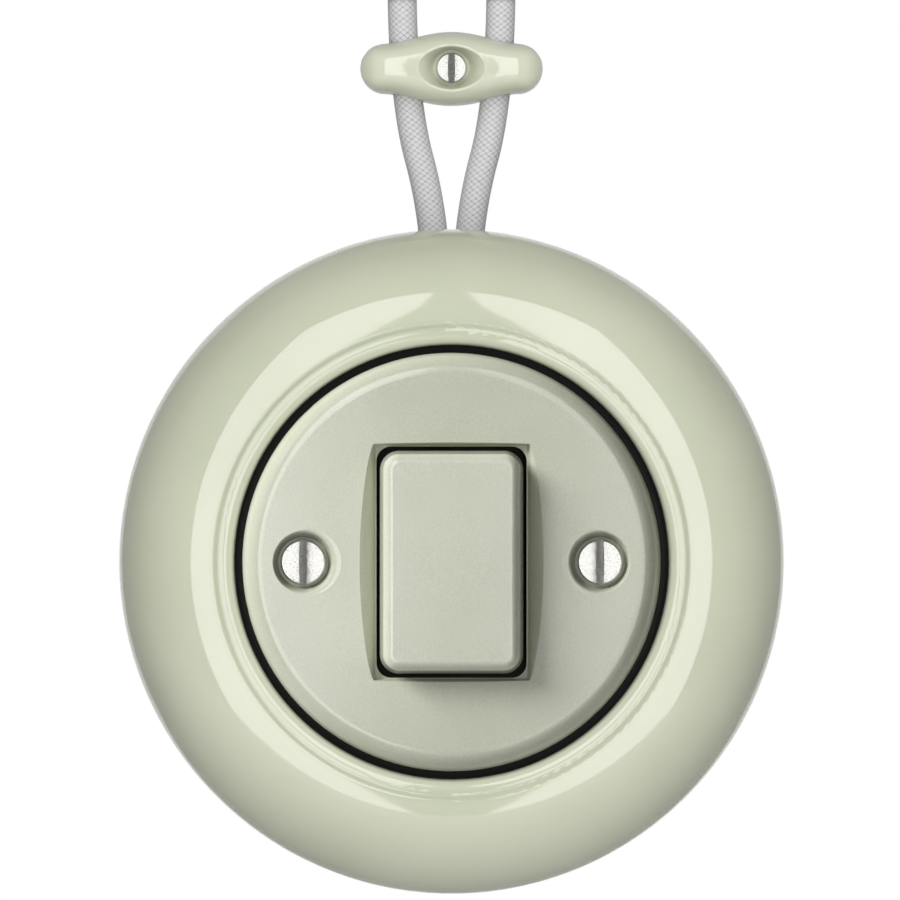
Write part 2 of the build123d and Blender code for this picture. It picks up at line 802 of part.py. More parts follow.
def cleat_top():
    """Upper half of the cleat: two lobes and a raised middle with an oval crater."""
    end = cleat_length / 2
    shares = (0.0, 0.2, 0.4, 0.6, 0.74, 0.84, 0.92, 0.97, 0.994)
    stations = sorted({side * share * end for side in (1, -1) for share in shares})
    body = loft([cleat_section(x) for x in stations])
    seat = cleat_top_height - crater_depth
    low = level(seat) * Ellipse(crater_seat_radius, crater_seat_radius * crater_seat_share)
    high = level(cleat_top_height) * Ellipse(crater_length / 2, crater_width / 2)
    above = level(cleat_top_height + over) * Ellipse(crater_length / 2 + over, crater_width / 2 + over)
    crater = loft([low, high]) + loft([high, above])
    body -= at(0, cleat_z) * crater
    body = fillet([edge for edge in body.edges() if is_crater_rim(edge)], crater_round)
    body -= at(0, cleat_z) * pin(cleat_screw_radius + cleat_hole_play, 0, cleat_top_height)
    return cut_wires(body)


def is_crater_rim(edge):
    """Whether an edge is where the crater meets the crown."""
    centre = edge.center(CenterOf.BOUNDING_BOX)
    near = abs(centre.X) < crater_length / 2 and abs(centre.Z - cleat_z) < crater_width / 2
    return near and -centre.Y > cleat_top_height - crater_depth / 2


def cut_wires(body):
    """The half-round grooves that the wires lie in."""
    for side in (1, -1):
        body -= tube(wire_route, side, wire_radius + cleat_grip)
    return body


def cleat_outline():
    """The cleat's outline on the wall, from the same half width as its top."""
    end = cleat_length / 2
    steps = 9
    shoulder = end - cleat_lobe_half
    places = [step * shoulder / steps for step in range(steps + 1)]
    points = [(x, cleat_half_width(x)) for x in places]
    upper = Spline(*points, tangents=[(1, 0), (1, 0)])
    nose = CenterArc((shoulder, 0), cleat_lobe_half, 90, -90)
    quarter = make_face([upper, nose, Line((end, 0), (0, 0)), Line((0, 0), points[0])])
    half = quarter + mirror(quarter, about=Plane.XZ)
    return half + mirror(half, about=Plane.YZ)


def cleat_base():
    """Lower half of the cleat, flat on the wall, with a pocket for the nut."""
    base = slab(at_z(cleat_outline(), cleat_z), 0, cleat_base_top)
    base -= at(0, cleat_z) * pin(cleat_screw_radius + cleat_hole_play, -over, cleat_base_top + over)
    pocket = Rectangle(cleat_nut_size + 2 * cleat_nut_play, cleat_nut_size + 2 * cleat_nut_play)
    base -= at(0, cleat_z) * slab(pocket, -over, cleat_nut_recess + cleat_nut_thickness)
    return cut_wires(base)


def cleat_screw():
    """Screw that draws the two halves of the cleat together on the wires."""
    seat = cleat_top_height - crater_depth
    length = seat - cleat_nut_recess
    screw = slotted_screw(
        cleat_screw_radius, cleat_head_radius, seat, cleat_head_height, length, cleat_screw_slot
    )
    return at(0, cleat_z) * screw


def cleat_nut():
    """Square nut in the back of the cleat base."""
    outline = Rectangle(cleat_nut_size, cleat_nut_size) - Circle(cleat_screw_radius + thread_gap)
    top = cleat_nut_recess + cleat_nut_thickness
    return at(0, cleat_z) * slab(outline, cleat_nut_recess, top)


def save(name, shape):
    """Write one named piece, or a group of like pieces, as a file."""
    solids = shape if isinstance(shape, list) else [shape]
    loose = [solid for item in solids for solid in item.solids()]
    piece = loose[0] if len(loose) == 1 else Compound(children=loose)
    export_step(piece, f"parts/{name}.step")


os.makedirs("parts", exist_ok=True)
save("housing_ring", housing_ring())
save("base_plate", base_plate())
save("mounting_yoke", mounting_yoke())
save("yoke_screws", yoke_screws())
save("cover_disc", cover_disc())
save("cover_screws", cover_screws())
save("button_cap", button_cap())
save("button_carrier", button_carrier())
save("contact_bridge", contact_bridge())
save("moving_tips", contact_tips(moving_tip_end, bridge_bottom))
save("plunger_clip", plunger_clip())
save("contact_spring", contact_spring())
save("return_springs", return_springs())
save("switch_body", switch_body())
save("fixed_contact_right", fixed_contact(1))
save("fixed_contact_left", fixed_contact(-1))
save("fixed_tips", contact_tips(strap_top, fixed_tip_end))
save("terminal_right", terminal(1))
save("terminal_left", terminal(-1))
save("terminal_screws", terminal_screws())
save("wire_right", tube(wire_route, 1, wire_radius))
save("wire_left", tube(wire_route, -1, wire_radius))
save("core_right", tube(core_route, 1, core_radius))
save("core_left", tube(core_route, -1, core_radius))
save("conductor_tips", conductor_tips())
save("end_ferrules", end_ferrules())
save("cleat_top", cleat_top())
save("cleat_base", cleat_base())
save("cleat_screw", cleat_screw())
save("cleat_nut", cleat_nut())
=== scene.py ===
import math

import bmesh
import bpy
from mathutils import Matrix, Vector


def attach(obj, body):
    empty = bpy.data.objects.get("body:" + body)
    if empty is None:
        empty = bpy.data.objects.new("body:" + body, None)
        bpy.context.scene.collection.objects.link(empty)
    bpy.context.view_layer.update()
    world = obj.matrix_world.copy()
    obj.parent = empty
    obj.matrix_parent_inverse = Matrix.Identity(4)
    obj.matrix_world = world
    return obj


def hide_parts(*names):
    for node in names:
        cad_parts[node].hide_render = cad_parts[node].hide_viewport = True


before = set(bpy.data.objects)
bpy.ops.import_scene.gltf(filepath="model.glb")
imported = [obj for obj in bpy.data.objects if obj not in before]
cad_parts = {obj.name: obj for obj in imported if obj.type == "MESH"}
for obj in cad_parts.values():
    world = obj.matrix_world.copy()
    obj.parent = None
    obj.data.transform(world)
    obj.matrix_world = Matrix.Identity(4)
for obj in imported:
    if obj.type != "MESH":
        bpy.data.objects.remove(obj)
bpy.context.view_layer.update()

# The studio: a white paper sweep under and behind the switch, and a long lens straight in front.
# The switch hangs clear of the paper with its back to +Y.
SIGHT_X = -0.00023
SIGHT_Z = 0.01677
FRAME_WIDTH = 0.13536
NOSE_PLANE = -0.022
CAMERA_DISTANCE = 2.5
SENSOR_WIDTH_MM = 36
FARTHEST_SEEN = 20
SWEEP_FLOOR = -0.50
SWEEP_FRONT = -3.0
SWEEP_BACK = 0.95
SWEEP_TOP = 3.0
SWEEP_HALF_WIDTH = 2.5
SWEEP_BEND = 0.3
SWEEP_BEND_STEPS = 12
PAPER = "#e6e6e6"


def srgb(hex_colour):
    """An sRGB hex colour as linear red, green, blue and alpha."""
    channels = [int(hex_colour[i:i + 2], 16) / 255 for i in (1, 3, 5)]
    linear = [c / 12.92 if c <= 0.04045 else ((c + 0.055) / 1.055) ** 2.4 for c in channels]
    return (*linear, 1.0)


def node(tree, kind, settings=None, links=None):
    """Adds a node with its settings, its socket values, its colour stops and the links into it."""
    made = tree.nodes.new(kind)
    for name, value in (settings or {}).items():
        if name == "stops":
            ramp = made.color_ramp.elements
            while len(ramp) < len(value):
                ramp.new(1.0)
            for stop, (position, colour) in zip(ramp, value):
                stop.position = position
                stop.color = srgb(colour)
        elif isinstance(name, int) or name in made.inputs:
            made.inputs[name].default_value = value
        else:
            setattr(made, name, value)
    for name, source in (links or {}).items():
        tree.links.new(source, made.inputs[name])
    return made


def new_material(name):
    """An empty node material, its tree and its output node."""
    material = bpy.data.materials.new(name)
    material.use_nodes = True
    tree = material.node_tree
    tree.nodes.clear()
    return material, tree, tree.nodes.new("ShaderNodeOutputMaterial")


def mesh_object(name, shape):
    """Turns a bmesh into a smooth object in the scene."""
    mesh = bpy.data.meshes.new(name)
    shape.to_mesh(mesh)
    shape.free()
    for face in mesh.polygons:
        face.use_smooth = True
    made = bpy.data.objects.new(name, mesh)
    bpy.context.scene.collection.objects.link(made)
    return made


camera_data = bpy.data.cameras.new("camera")
camera_data.sensor_width = SENSOR_WIDTH_MM
camera_data.lens = SENSOR_WIDTH_MM * CAMERA_DISTANCE / FRAME_WIDTH
camera_data.clip_end = FARTHEST_SEEN
camera = bpy.data.objects.new("camera", camera_data)
camera.location = (SIGHT_X, NOSE_PLANE - CAMERA_DISTANCE, SIGHT_Z)
camera.rotation_euler = (math.pi / 2, 0, 0)
bpy.context.scene.collection.objects.link(camera)
bpy.context.scene.camera = camera
bpy.context.scene.view_settings.view_transform = "Standard"

paper_shape = bmesh.new()
front_edge = [
    paper_shape.verts.new((-SWEEP_HALF_WIDTH, SWEEP_FRONT, SWEEP_FLOOR)),
    paper_shape.verts.new((SWEEP_HALF_WIDTH, SWEEP_FRONT, SWEEP_FLOOR)),
]
floor_edge = paper_shape.edges.new(front_edge)
flat = bmesh.ops.extrude_edge_only(paper_shape, edges=[floor_edge])["geom"]
bmesh.ops.translate(
    paper_shape,
    verts=[part for part in flat if isinstance(part, bmesh.types.BMVert)],
    vec=(0, SWEEP_BACK - SWEEP_BEND - SWEEP_FRONT, 0),
)
bend = bmesh.ops.spin(
    paper_shape,
    geom=[part for part in flat if not isinstance(part, bmesh.types.BMFace)],
    cent=(0, SWEEP_BACK - SWEEP_BEND, SWEEP_FLOOR + SWEEP_BEND),
    axis=(1, 0, 0),
    angle=math.pi / 2,
    steps=SWEEP_BEND_STEPS,
)["geom_last"]
upright = bmesh.ops.extrude_edge_only(
    paper_shape, edges=[part for part in bend if isinstance(part, bmesh.types.BMEdge)]
)["geom"]
bmesh.ops.translate(
    paper_shape,
    verts=[part for part in upright if isinstance(part, bmesh.types.BMVert)],
    vec=(0, 0, SWEEP_TOP),
)
bmesh.ops.remove_doubles(paper_shape, verts=paper_shape.verts, dist=0.0001)
paper_shape.normal_update()
turned_away = [face for face in paper_shape.faces if face.normal.dot(face.calc_center_median()) > 0]
bmesh.ops.reverse_faces(paper_shape, faces=turned_away)
sweep = mesh_object("studio_sweep", paper_shape)

# Matt white paper, which the camera sees as plain white, and looks through from behind.
paper, tree, out = new_material("white_sweep_paper")
seen = node(tree, "ShaderNodeLightPath").outputs["Is Camera Ray"]
behind = node(tree, "ShaderNodeNewGeometry").outputs["Backfacing"]
matt = node(tree, "ShaderNodeBsdfDiffuse", {"Color": srgb(PAPER)})
white = node(tree, "ShaderNodeEmission", {"Color": (1, 1, 1, 1), "Strength": 1.0})
clear = node(tree, "ShaderNodeBsdfTransparent")
screen = node(tree, "ShaderNodeMixShader", links={0: behind, 1: white.outputs[0], 2: clear.outputs[0]})
mixed = node(tree, "ShaderNodeMixShader", links={0: seen, 1: matt.outputs[0], 2: screen.outputs[0]})
tree.links.new(mixed.outputs[0], out.inputs["Surface"])
sweep.data.materials.append(paper)

# The light: a tall strip softbox close to each side of the lens, which the glaze shows as a
# bright band on each side of every rounded edge, a weak soft lamp in front of everything and one
# overhead for the ring, the cleat and the wires, and a pale panel behind that only edges the ring.
# The disc and the button only mirror their strips, and are lit by a big soft key at the upper
# left, which gives the button its shadow. Two soft lamps at the sides reach round the cleat's
# ends. Each lamp but the one in front is linked to its pieces.
STRIP_DISTANCE = 1.5
STRIP_NEAR = 0.05
SCREW_STRIP_NEAR = 0.078
STRIP_FAR = 0.50
STRIP_HALF_HEIGHT = 0.60
STRIP_LIFT = 0.18
STRIP_RADIANCE = 3.1
SCREW_RADIANCE = 1.65
FRONT_PIECES = ("cover_disc", "button_cap")
SCREW_PIECES = ("cover_screws", "cleat_screw")
FRONT_RADIANCE = {-1: 4.0, 1: 2.5}
PANEL_PLACE = (0.0, 0.62, 0.10)
PANEL_SIZE = (0.86, 0.66)
PANEL_RADIANCE = 0.5
KEY_PLACE = (-1.34, -0.86, 0.98)
KEY_SIZE = 0.9
KEY_POWER = 43.5
TOP_PLACE = (0.0, -0.9, 1.0)
TOP_SIZE = 0.6
TOP_POWER = 4.8
SIDE_REACH = 1.2
SIDE_FRONT = -0.2
SIDE_HEIGHT = 0.07
SIDE_SIZE = 0.8
SIDE_POWER = 5.5
FACING_PLACE = (0.0, -1.6, 0.0)
FACING_SIZE = 2.0
FACING_POWER = 2.2
FILL = 0.11


def hang_light(name, place, size, radiance, names, state):
    """An area lamp that lights only the named pieces, or all but them, or all if none is named."""
    lamp = bpy.data.lights.new(name, "AREA")
    lamp.shape = "RECTANGLE"
    lamp.size, lamp.size_y = size
    lamp.energy = radiance * math.pi * lamp.size * lamp.size_y
    made = bpy.data.objects.new(name, lamp)
    made.location = place
    bpy.context.scene.collection.objects.link(made)
    if names:
        lit = bpy.data.collections.new(name + "_pieces")
        for piece in names:
            lit.objects.link(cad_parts[piece])
        for item in lit.collection_objects:
            item.light_linking.link_state = state
        made.light_linking.receiver_collection = lit
    return made


def strip_light(name, side, near, radiance, names, state):
    """An upright strip softbox beside the lens."""
    size = (STRIP_DISTANCE * (STRIP_FAR - near), 2 * STRIP_DISTANCE * STRIP_HALF_HEIGHT)
    middle = side * STRIP_DISTANCE * (STRIP_FAR + near) / 2
    place = (middle, -STRIP_DISTANCE, STRIP_DISTANCE * STRIP_LIFT)
    strip = hang_light(name, place, size, radiance, names, state)
    strip.rotation_euler = (math.pi / 2, 0, 0)
    strip.visible_diffuse = state == "EXCLUDE"


def soft_lamp(name, place, size, power, names, state):
    """A square soft lamp that leaves no highlight of its own."""
    radiance = power / (math.pi * size * size)
    lamp = hang_light(name, place, (size, size), radiance, names, state)
    lamp.rotation_euler = Vector(place).to_track_quat("Z", "Y").to_euler()
    lamp.visible_glossy = False


for side, word in ((-1, "left"), (1, "right")):
    others = FRONT_PIECES + SCREW_PIECES
    strip_light("strip_" + word, side, STRIP_NEAR, STRIP_RADIANCE, others, "EXCLUDE")
    strip_light("front_strip_" + word, side, STRIP_NEAR, FRONT_RADIANCE[side], FRONT_PIECES, "INCLUDE")
    strip_light("screw_strip_" + word, side, SCREW_STRIP_NEAR, SCREW_RADIANCE, SCREW_PIECES, "INCLUDE")
    place = (side * SIDE_REACH, SIDE_FRONT, SIDE_HEIGHT)
    soft_lamp("side_" + word, place, SIDE_SIZE, SIDE_POWER, ("cleat_top",), "INCLUDE")
soft_lamp("key", KEY_PLACE, KEY_SIZE, KEY_POWER, FRONT_PIECES, "INCLUDE")
soft_lamp("overhead", TOP_PLACE, TOP_SIZE, TOP_POWER, FRONT_PIECES, "EXCLUDE")
soft_lamp("facing", FACING_PLACE, FACING_SIZE, FACING_POWER, (), None)
panel = hang_light("panel", PANEL_PLACE, PANEL_SIZE, PANEL_RADIANCE, ("housing_ring",), "INCLUDE")
panel.rotation_euler = (-math.pi / 2, 0, 0)
panel.visible_camera = False
panel.visible_diffuse = False

room = bpy.data.worlds.new("room")
bpy.context.scene.world = room
room.use_nodes = True
tree = room.node_tree
tree.nodes.clear()
seen = node(tree, "ShaderNodeLightPath").outputs["Is Camera Ray"]
level = node(tree, "ShaderNodeMapRange", {"To Min": FILL, "To Max": 1.0}, {"Value": seen})
air = node(tree, "ShaderNodeBackground", {"Color": (1, 1, 1, 1)}, {"Strength": level.outputs["Result"]})
node(tree, "ShaderNodeOutputWorld", links={"Surface": air.outputs[0]})

# The two wires: a round flexible core in a braided textile sleeve, 4.4 mm across, pulled straight
# up the wall from the notch in the ring's top. Twelve yarns run each way round, over and under,
# and a cell of the braid is just under 1 mm long.
WIRE_RADIUS = 0.0022
WIRE_ROUTE = [
    (0.00235, -0.0057, 0.0410),
    (0.00235, -0.0057, 0.0515),
    (0.00750, -0.0057, 0.0705),
    (0.00750, -0.0057, 0.0890),
]
YARNS_EACH_WAY = 12
BRAID_CELL = 0.00085
FIBRE_CLUMP = 0.0004
LEAF_BREADTH = 0.6
LEAF_LENGTH = 0.25
FUZZ_SHARE = 0.7
YARN_CROWN_PAINTED_LIGHT = "#cdcdce"
YARN_SIDE = "#bcbcbe"
YARN_DIP_PAINTED_SHADE = "#8e8f92"


def wire(name, side):
    """A wire as one smooth curve through the route's points, on the side asked."""
    curve = bpy.data.curves.new(name, "CURVE")
    curve.dimensions = "3D"
    curve.bevel_depth = WIRE_RADIUS
    curve.bevel_resolution = 8
    curve.resolution_u = 24
    curve.use_fill_caps = True
    spline = curve.splines.new("NURBS")
    spline.points.add(len(WIRE_ROUTE) - 1)
    for point, (x, y, z) in zip(spline.points, WIRE_ROUTE):
        point.co = (side * x, y, z, 1)
    spline.order_u = 3
    spline.use_endpoint_u = True
    made = bpy.data.objects.new(name, curve)
    bpy.context.scene.collection.objects.link(made)
    return made


# Braided cotton: matt, with a soft bloom at the edges. Each yarn shows as a small leaf, with
# painted light on its crown and painted shade in the fine line where it dives under the next.
braid, tree, out = new_material("braided_cotton")
coordinates = node(tree, "ShaderNodeTexCoord")
place = node(tree, "ShaderNodeSeparateXYZ", links={0: coordinates.outputs["UV"]})
round_way = node(
    tree, "ShaderNodeMath", {"operation": "MULTIPLY", 1: YARNS_EACH_WAY}, {0: place.outputs["Y"]}
).outputs[0]
rise = node(tree, "ShaderNodeSeparateXYZ", links={0: coordinates.outputs["Object"]}).outputs["Z"]
long_way = node(tree, "ShaderNodeMath", {"operation": "DIVIDE", 1: BRAID_CELL}, {0: rise}).outputs[0]
crowns = []
cells = []
for slant in ("ADD", "SUBTRACT"):
    across = node(tree, "ShaderNodeMath", {"operation": slant}, {0: round_way, 1: long_way}).outputs[0]
    cells.append(node(tree, "ShaderNodeMath", {"operation": "FLOOR"}, {0: across}).outputs[0])
    share = node(tree, "ShaderNodeMath", {"operation": "FRACT"}, {0: across}).outputs[0]
    angle = node(tree, "ShaderNodeMath", {"operation": "MULTIPLY", 1: math.pi}, {0: share}).outputs[0]
    crowns.append(node(tree, "ShaderNodeMath", {"operation": "SINE"}, {0: angle}).outputs[0])
count = node(tree, "ShaderNodeMath", {"operation": "ADD"}, {0: cells[0], 1: cells[1]}).outputs[0]
over = node(tree, "ShaderNodeMath", {"operation": "FLOORED_MODULO", 1: 2.0}, {0: count}).outputs[0]
leaves = []
for first, second in (crowns, crowns[::-1]):
    wide = node(tree, "ShaderNodeMath", {"operation": "POWER", 1: LEAF_BREADTH}, {0: first}).outputs[0]
    tall = node(tree, "ShaderNodeMath", {"operation": "POWER", 1: LEAF_LENGTH}, {0: second}).outputs[0]
    leaves.append(node(tree, "ShaderNodeMath", {"operation": "MULTIPLY"}, {0: wide, 1: tall}).outputs[0])
leaf = node(
    tree, "ShaderNodeMix", {"data_type": "FLOAT"}, {0: over, 2: leaves[0], 3: leaves[1]}
).outputs[0]
fuzz = node(
    tree, "ShaderNodeTexNoise", {"Scale": 1 / FIBRE_CLUMP, "Detail": 3.0, "Roughness": 0.6},
    {"Vector": coordinates.outputs["Object"]},
).outputs["Fac"]
height = node(
    tree, "ShaderNodeMath", {"operation": "MULTIPLY_ADD", 1: FUZZ_SHARE}, {0: fuzz, 2: leaf}
).outputs[0]
# Painted light and shade: the colour follows the braid's height, light on crowns and dark in dips.
yarn_painted_shading = [(0.3, YARN_DIP_PAINTED_SHADE), (0.85, YARN_SIDE), (1.0, YARN_CROWN_PAINTED_LIGHT)]
shade = node(tree, "ShaderNodeValToRGB", {"stops": yarn_painted_shading}, {"Fac": height})
bump = node(tree, "ShaderNodeBump", {"Strength": 0.5, "Distance": 0.00010}, {"Height": height})
cotton = node(
    tree, "ShaderNodeBsdfPrincipled",
    {"Roughness": 0.85, "IOR": 1.45, "Sheen Weight": 0.2, "Sheen Roughness": 0.5},
    {"Base Color": shade.outputs["Color"], "Normal": bump.outputs["Normal"]},
)
tree.links.new(cotton.outputs[0], out.inputs["Surface"])

wire_left = wire("wire_left_braid", -1)
wire_right = wire("wire_right_braid", 1)
for braided, solid in ((wire_left, "wire_left"), (wire_right, "wire_right")):
    braided.data.materials.append(braid)
    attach(braided, "root")
    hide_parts(solid)

# The ferrules that close the wires' far ends: drawn copper tube, tin-plated and crimped on the
# sleeve with three bars. Tin is a soft grey metal, hazy rather than bright.
CRIMP_PITCH = 0.0011
TIN_HAZE = 0.0009


def dress(names, material):
    """Gives CAD nodes a material."""
    for name in names:
        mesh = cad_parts[name].data
        mesh.materials.clear()
        mesh.materials.append(material)


tin, tree, out = new_material("tinned_copper")
where = node(tree, "ShaderNodeTexCoord").outputs["Object"]
haze = node(
    tree, "ShaderNodeTexNoise", {"Scale": 1 / TIN_HAZE, "Detail": 3.0, "Roughness": 0.6},
    {"Vector": where},
).outputs["Fac"]
colour = node(tree, "ShaderNodeValToRGB", {"stops": [(0.35, "#a5a4a1"), (0.65, "#cbcac6")]}, {"Fac": haze})
dull = node(tree, "ShaderNodeMapRange", {"To Min": 0.26, "To Max": 0.42}, {"Value": haze}).outputs["Result"]
bars = node(
    tree, "ShaderNodeTexWave",
    {"bands_direction": "Z", "Scale": math.pi / 10 / CRIMP_PITCH, "Distortion": 0.0},
    {"Vector": where},
).outputs["Fac"]
height = node(tree, "ShaderNodeMath", {"operation": "MULTIPLY_ADD", 1: 0.15}, {0: haze, 2: bars}).outputs[0]
bump = node(tree, "ShaderNodeBump", {"Strength": 0.6, "Distance": 0.0002}, {"Height": height})
plated = node(
    tree, "ShaderNodeBsdfPrincipled", {"Metallic": 1.0},
    {"Base Color": colour.outputs["Color"], "Roughness": dull, "Normal": bump.outputs["Normal"]},
)
tree.links.new(plated.outputs[0], out.inputs["Surface"])
dress(["end_ferrules"], tin)

# The base plate and the switch body: black-brown phenolic moulding powder, pressed hot in steel
# dies. The powder's wood flour leaves faint flow swirls and tiny paler flecks under a soft gloss.
FLOW_SWIRL = 0.006
WOOD_FLECK = 0.00025

phenolic, tree, out = new_material("moulded_phenolic")
where = node(tree, "ShaderNodeTexCoord").outputs["Object"]
swirl = node(
    tree, "ShaderNodeTexNoise", {"Scale": 1 / FLOW_SWIRL, "Detail": 2.0, "Distortion": 1.6}, {"Vector": where}
).outputs["Fac"]
fleck = node(
    tree, "ShaderNodeTexNoise", {"Scale": 1 / WOOD_FLECK, "Detail": 1.0}, {"Vector": where}
).outputs["Fac"]
flow = node(tree, "ShaderNodeValToRGB", {"stops": [(0.35, "#181310"), (0.65, "#241b16")]}, {"Fac": swirl})
sparse = node(
    tree, "ShaderNodeMapRange", {"From Min": 0.60, "From Max": 0.78, "To Max": 0.5}, {"Value": fleck}
).outputs["Result"]
colour = node(
    tree, "ShaderNodeMix", {"data_type": "RGBA", 7: srgb("#4a3728")}, {0: sparse, 6: flow.outputs["Color"]}
)
dull = node(tree, "ShaderNodeMapRange", {"To Min": 0.22, "To Max": 0.40}, {"Value": swirl}).outputs["Result"]
bump = node(tree, "ShaderNodeBump", {"Strength": 0.12, "Distance": 0.00003}, {"Height": fleck})
pressed = node(
    tree, "ShaderNodeBsdfPrincipled", {"IOR": 1.6},
    {"Base Color": colour.outputs[2], "Roughness": dull, "Normal": bump.outputs["Normal"]},
)
tree.links.new(pressed.outputs[0], out.inputs["Surface"])
dress(["base_plate", "switch_body"], phenolic)

# The cores of the wires, which bend back from the notch to the terminals: tinned strands in
# extruded silicone rubber. The rubber is matt, with faint lines along it from the die.
DIE_LINE = 0.00025

silicone, tree, out = new_material("silicone_rubber")
where = node(tree, "ShaderNodeTexCoord").outputs["Object"]
drawn = node(
    tree, "ShaderNodeMapping", {"Scale": (1 / DIE_LINE, 1 / DIE_LINE, 1 / (20 * DIE_LINE))}, {"Vector": where}
).outputs["Vector"]
lines = node(tree, "ShaderNodeTexNoise", {"Scale": 1.0, "Detail": 2.0}, {"Vector": drawn}).outputs["Fac"]
colour = node(tree, "ShaderNodeValToRGB", {"stops": [(0.3, "#8f8474"), (0.7, "#a0947f")]}, {"Fac": lines})
bump = node(tree, "ShaderNodeBump", {"Strength": 0.3, "Distance": 0.00004}, {"Height": lines})
rubber = node(
    tree, "ShaderNodeBsdfPrincipled", {"Roughness": 0.6, "IOR": 1.41},
    {"Base Color": colour.outputs["Color"], "Normal": bump.outputs["Normal"]},
)
tree.links.new(rubber.outputs[0], out.inputs["Surface"])
dress(["core_left", "core_right"], silicone)

# The terminals: square brass rod, cut, milled and drilled, then left bare. Fine milling lines
# cross the blocks, and handling has browned them in patches.
MILL_LINE = 0.00018


def worked_metal(name, bright, stained, line, stretch, roughness, tarnish):
    """Bare metal with tool lines of a real width, stretched one way, under patches of tarnish."""
    material, tree, out = new_material(name)
    where = node(tree, "ShaderNodeTexCoord").outputs["Object"]
    scale = tuple(1 / (line * share) for share in stretch)
    combed = node(tree, "ShaderNodeMapping", {"Scale": scale}, {"Vector": where}).outputs["Vector"]
    lines = node(tree, "ShaderNodeTexNoise", {"Scale": 1.0, "Detail": 2.0}, {"Vector": combed}).outputs["Fac"]
    patches = node(
        tree, "ShaderNodeTexNoise", {"Scale": 1 / tarnish, "Detail": 4.0, "Roughness": 0.6}, {"Vector": where}
    ).outputs["Fac"]
    both = node(
        tree, "ShaderNodeMath", {"operation": "MULTIPLY_ADD", 1: 0.35}, {0: lines, 2: patches}
    ).outputs[0]
    colour = node(tree, "ShaderNodeValToRGB", {"stops": [(0.52, stained), (0.78, bright)]}, {"Fac": both})
    dull = node(
        tree, "ShaderNodeMapRange",
        {"From Min": 0.5, "From Max": 0.8, "To Min": roughness + 0.15, "To Max": roughness},
        {"Value": both},
    ).outputs["Result"]
    bump = node(tree, "ShaderNodeBump", {"Strength": 0.25, "Distance": 0.00002}, {"Height": lines})
    metal = node(
        tree, "ShaderNodeBsdfPrincipled", {"Metallic": 1.0},
        {"Base Color": colour.outputs["Color"], "Roughness": dull, "Normal": bump.outputs["Normal"]},
    )
    tree.links.new(metal.outputs[0], out.inputs["Surface"])
    return material


brass = worked_metal("milled_brass", "#d0ae6a", "#9a7840", MILL_LINE, (1, 1, 25), 0.26, 0.003)
dress(["terminal_left", "terminal_right"], brass)

# The fixed contacts, the springy bridge over them and the bare conductor ends: rolled copper and
# phosphor bronze strip, stamped out. Rolling leaves lines along the strip and a warm, soft shine.
ROLL_LINE = 0.00015

bronze = worked_metal("rolled_bronze", "#cf9069", "#8f5c40", ROLL_LINE, (30, 1, 1), 0.24, 0.004)
dress(["contact_bridge", "fixed_contact_left", "fixed_contact_right", "conductor_tips"], bronze)

# The four contact tips: fine silver rivets with pressed heads. Silver is the whitest metal here,
# greyed in spots by tarnish.
PRESS_MARK = 0.0003

silver = worked_metal("pressed_silver", "#e6e3dc", "#b3ada2", PRESS_MARK, (1, 1, 1), 0.2, 0.0008)
dress(["moving_tips", "fixed_tips"], silver)

# The two return springs, the contact spring and the clip on the stem: hard-drawn spring steel,
# grey with a film of oil. The die's lines are too fine to see, so they are drawn 0.1 mm wide.
DRAWN_LINE = 0.0001

spring_steel = worked_metal("drawn_spring_steel", "#a3a5a7", "#6f7072", DRAWN_LINE, (1, 8, 1), 0.24, 0.002)
dress(["return_springs", "contact_spring", "plunger_clip"], spring_steel)

# The carrier that holds the cap and slides in the body: glass-filled nylon, dark grey. The glass
# comes to the surface as short pale fibres and takes most of the shine off.
GLASS_FIBRE = 0.0002

nylon, tree, out = new_material("glass_filled_nylon")
where = node(tree, "ShaderNodeTexCoord").outputs["Object"]
along = node(
    tree, "ShaderNodeMapping", {"Scale": (1 / GLASS_FIBRE, 1 / GLASS_FIBRE, 1 / (7 * GLASS_FIBRE))},
    {"Vector": where},
).outputs["Vector"]
fibre = node(tree, "ShaderNodeTexNoise", {"Scale": 1.0, "Detail": 2.0}, {"Vector": along}).outputs["Fac"]
nylon_tones = [(0.4, "#17181a"), (0.62, "#202224"), (0.75, "#3a3c3e")]
colour = node(tree, "ShaderNodeValToRGB", {"stops": nylon_tones}, {"Fac": fibre})
bump = node(tree, "ShaderNodeBump", {"Strength": 0.2, "Distance": 0.00003}, {"Height": fibre})
filled = node(
    tree, "ShaderNodeBsdfPrincipled", {"Roughness": 0.5, "IOR": 1.53},
    {"Base Color": colour.outputs["Color"], "Normal": bump.outputs["Normal"]},
)
tree.links.new(filled.outputs[0], out.inputs["Surface"])
dress(["button_carrier"], nylon)

# The yoke's screws, the terminal screws and the cleat's nut: mild steel, turned or pressed, and
# zinc-plated in a barrel. The plating is a cool grey with small cloudy crystals, and the
# passivation shows as faint blue and straw patches.
ZINC_CRYSTAL = 0.0007
PASSIVATION_PATCH = 0.006

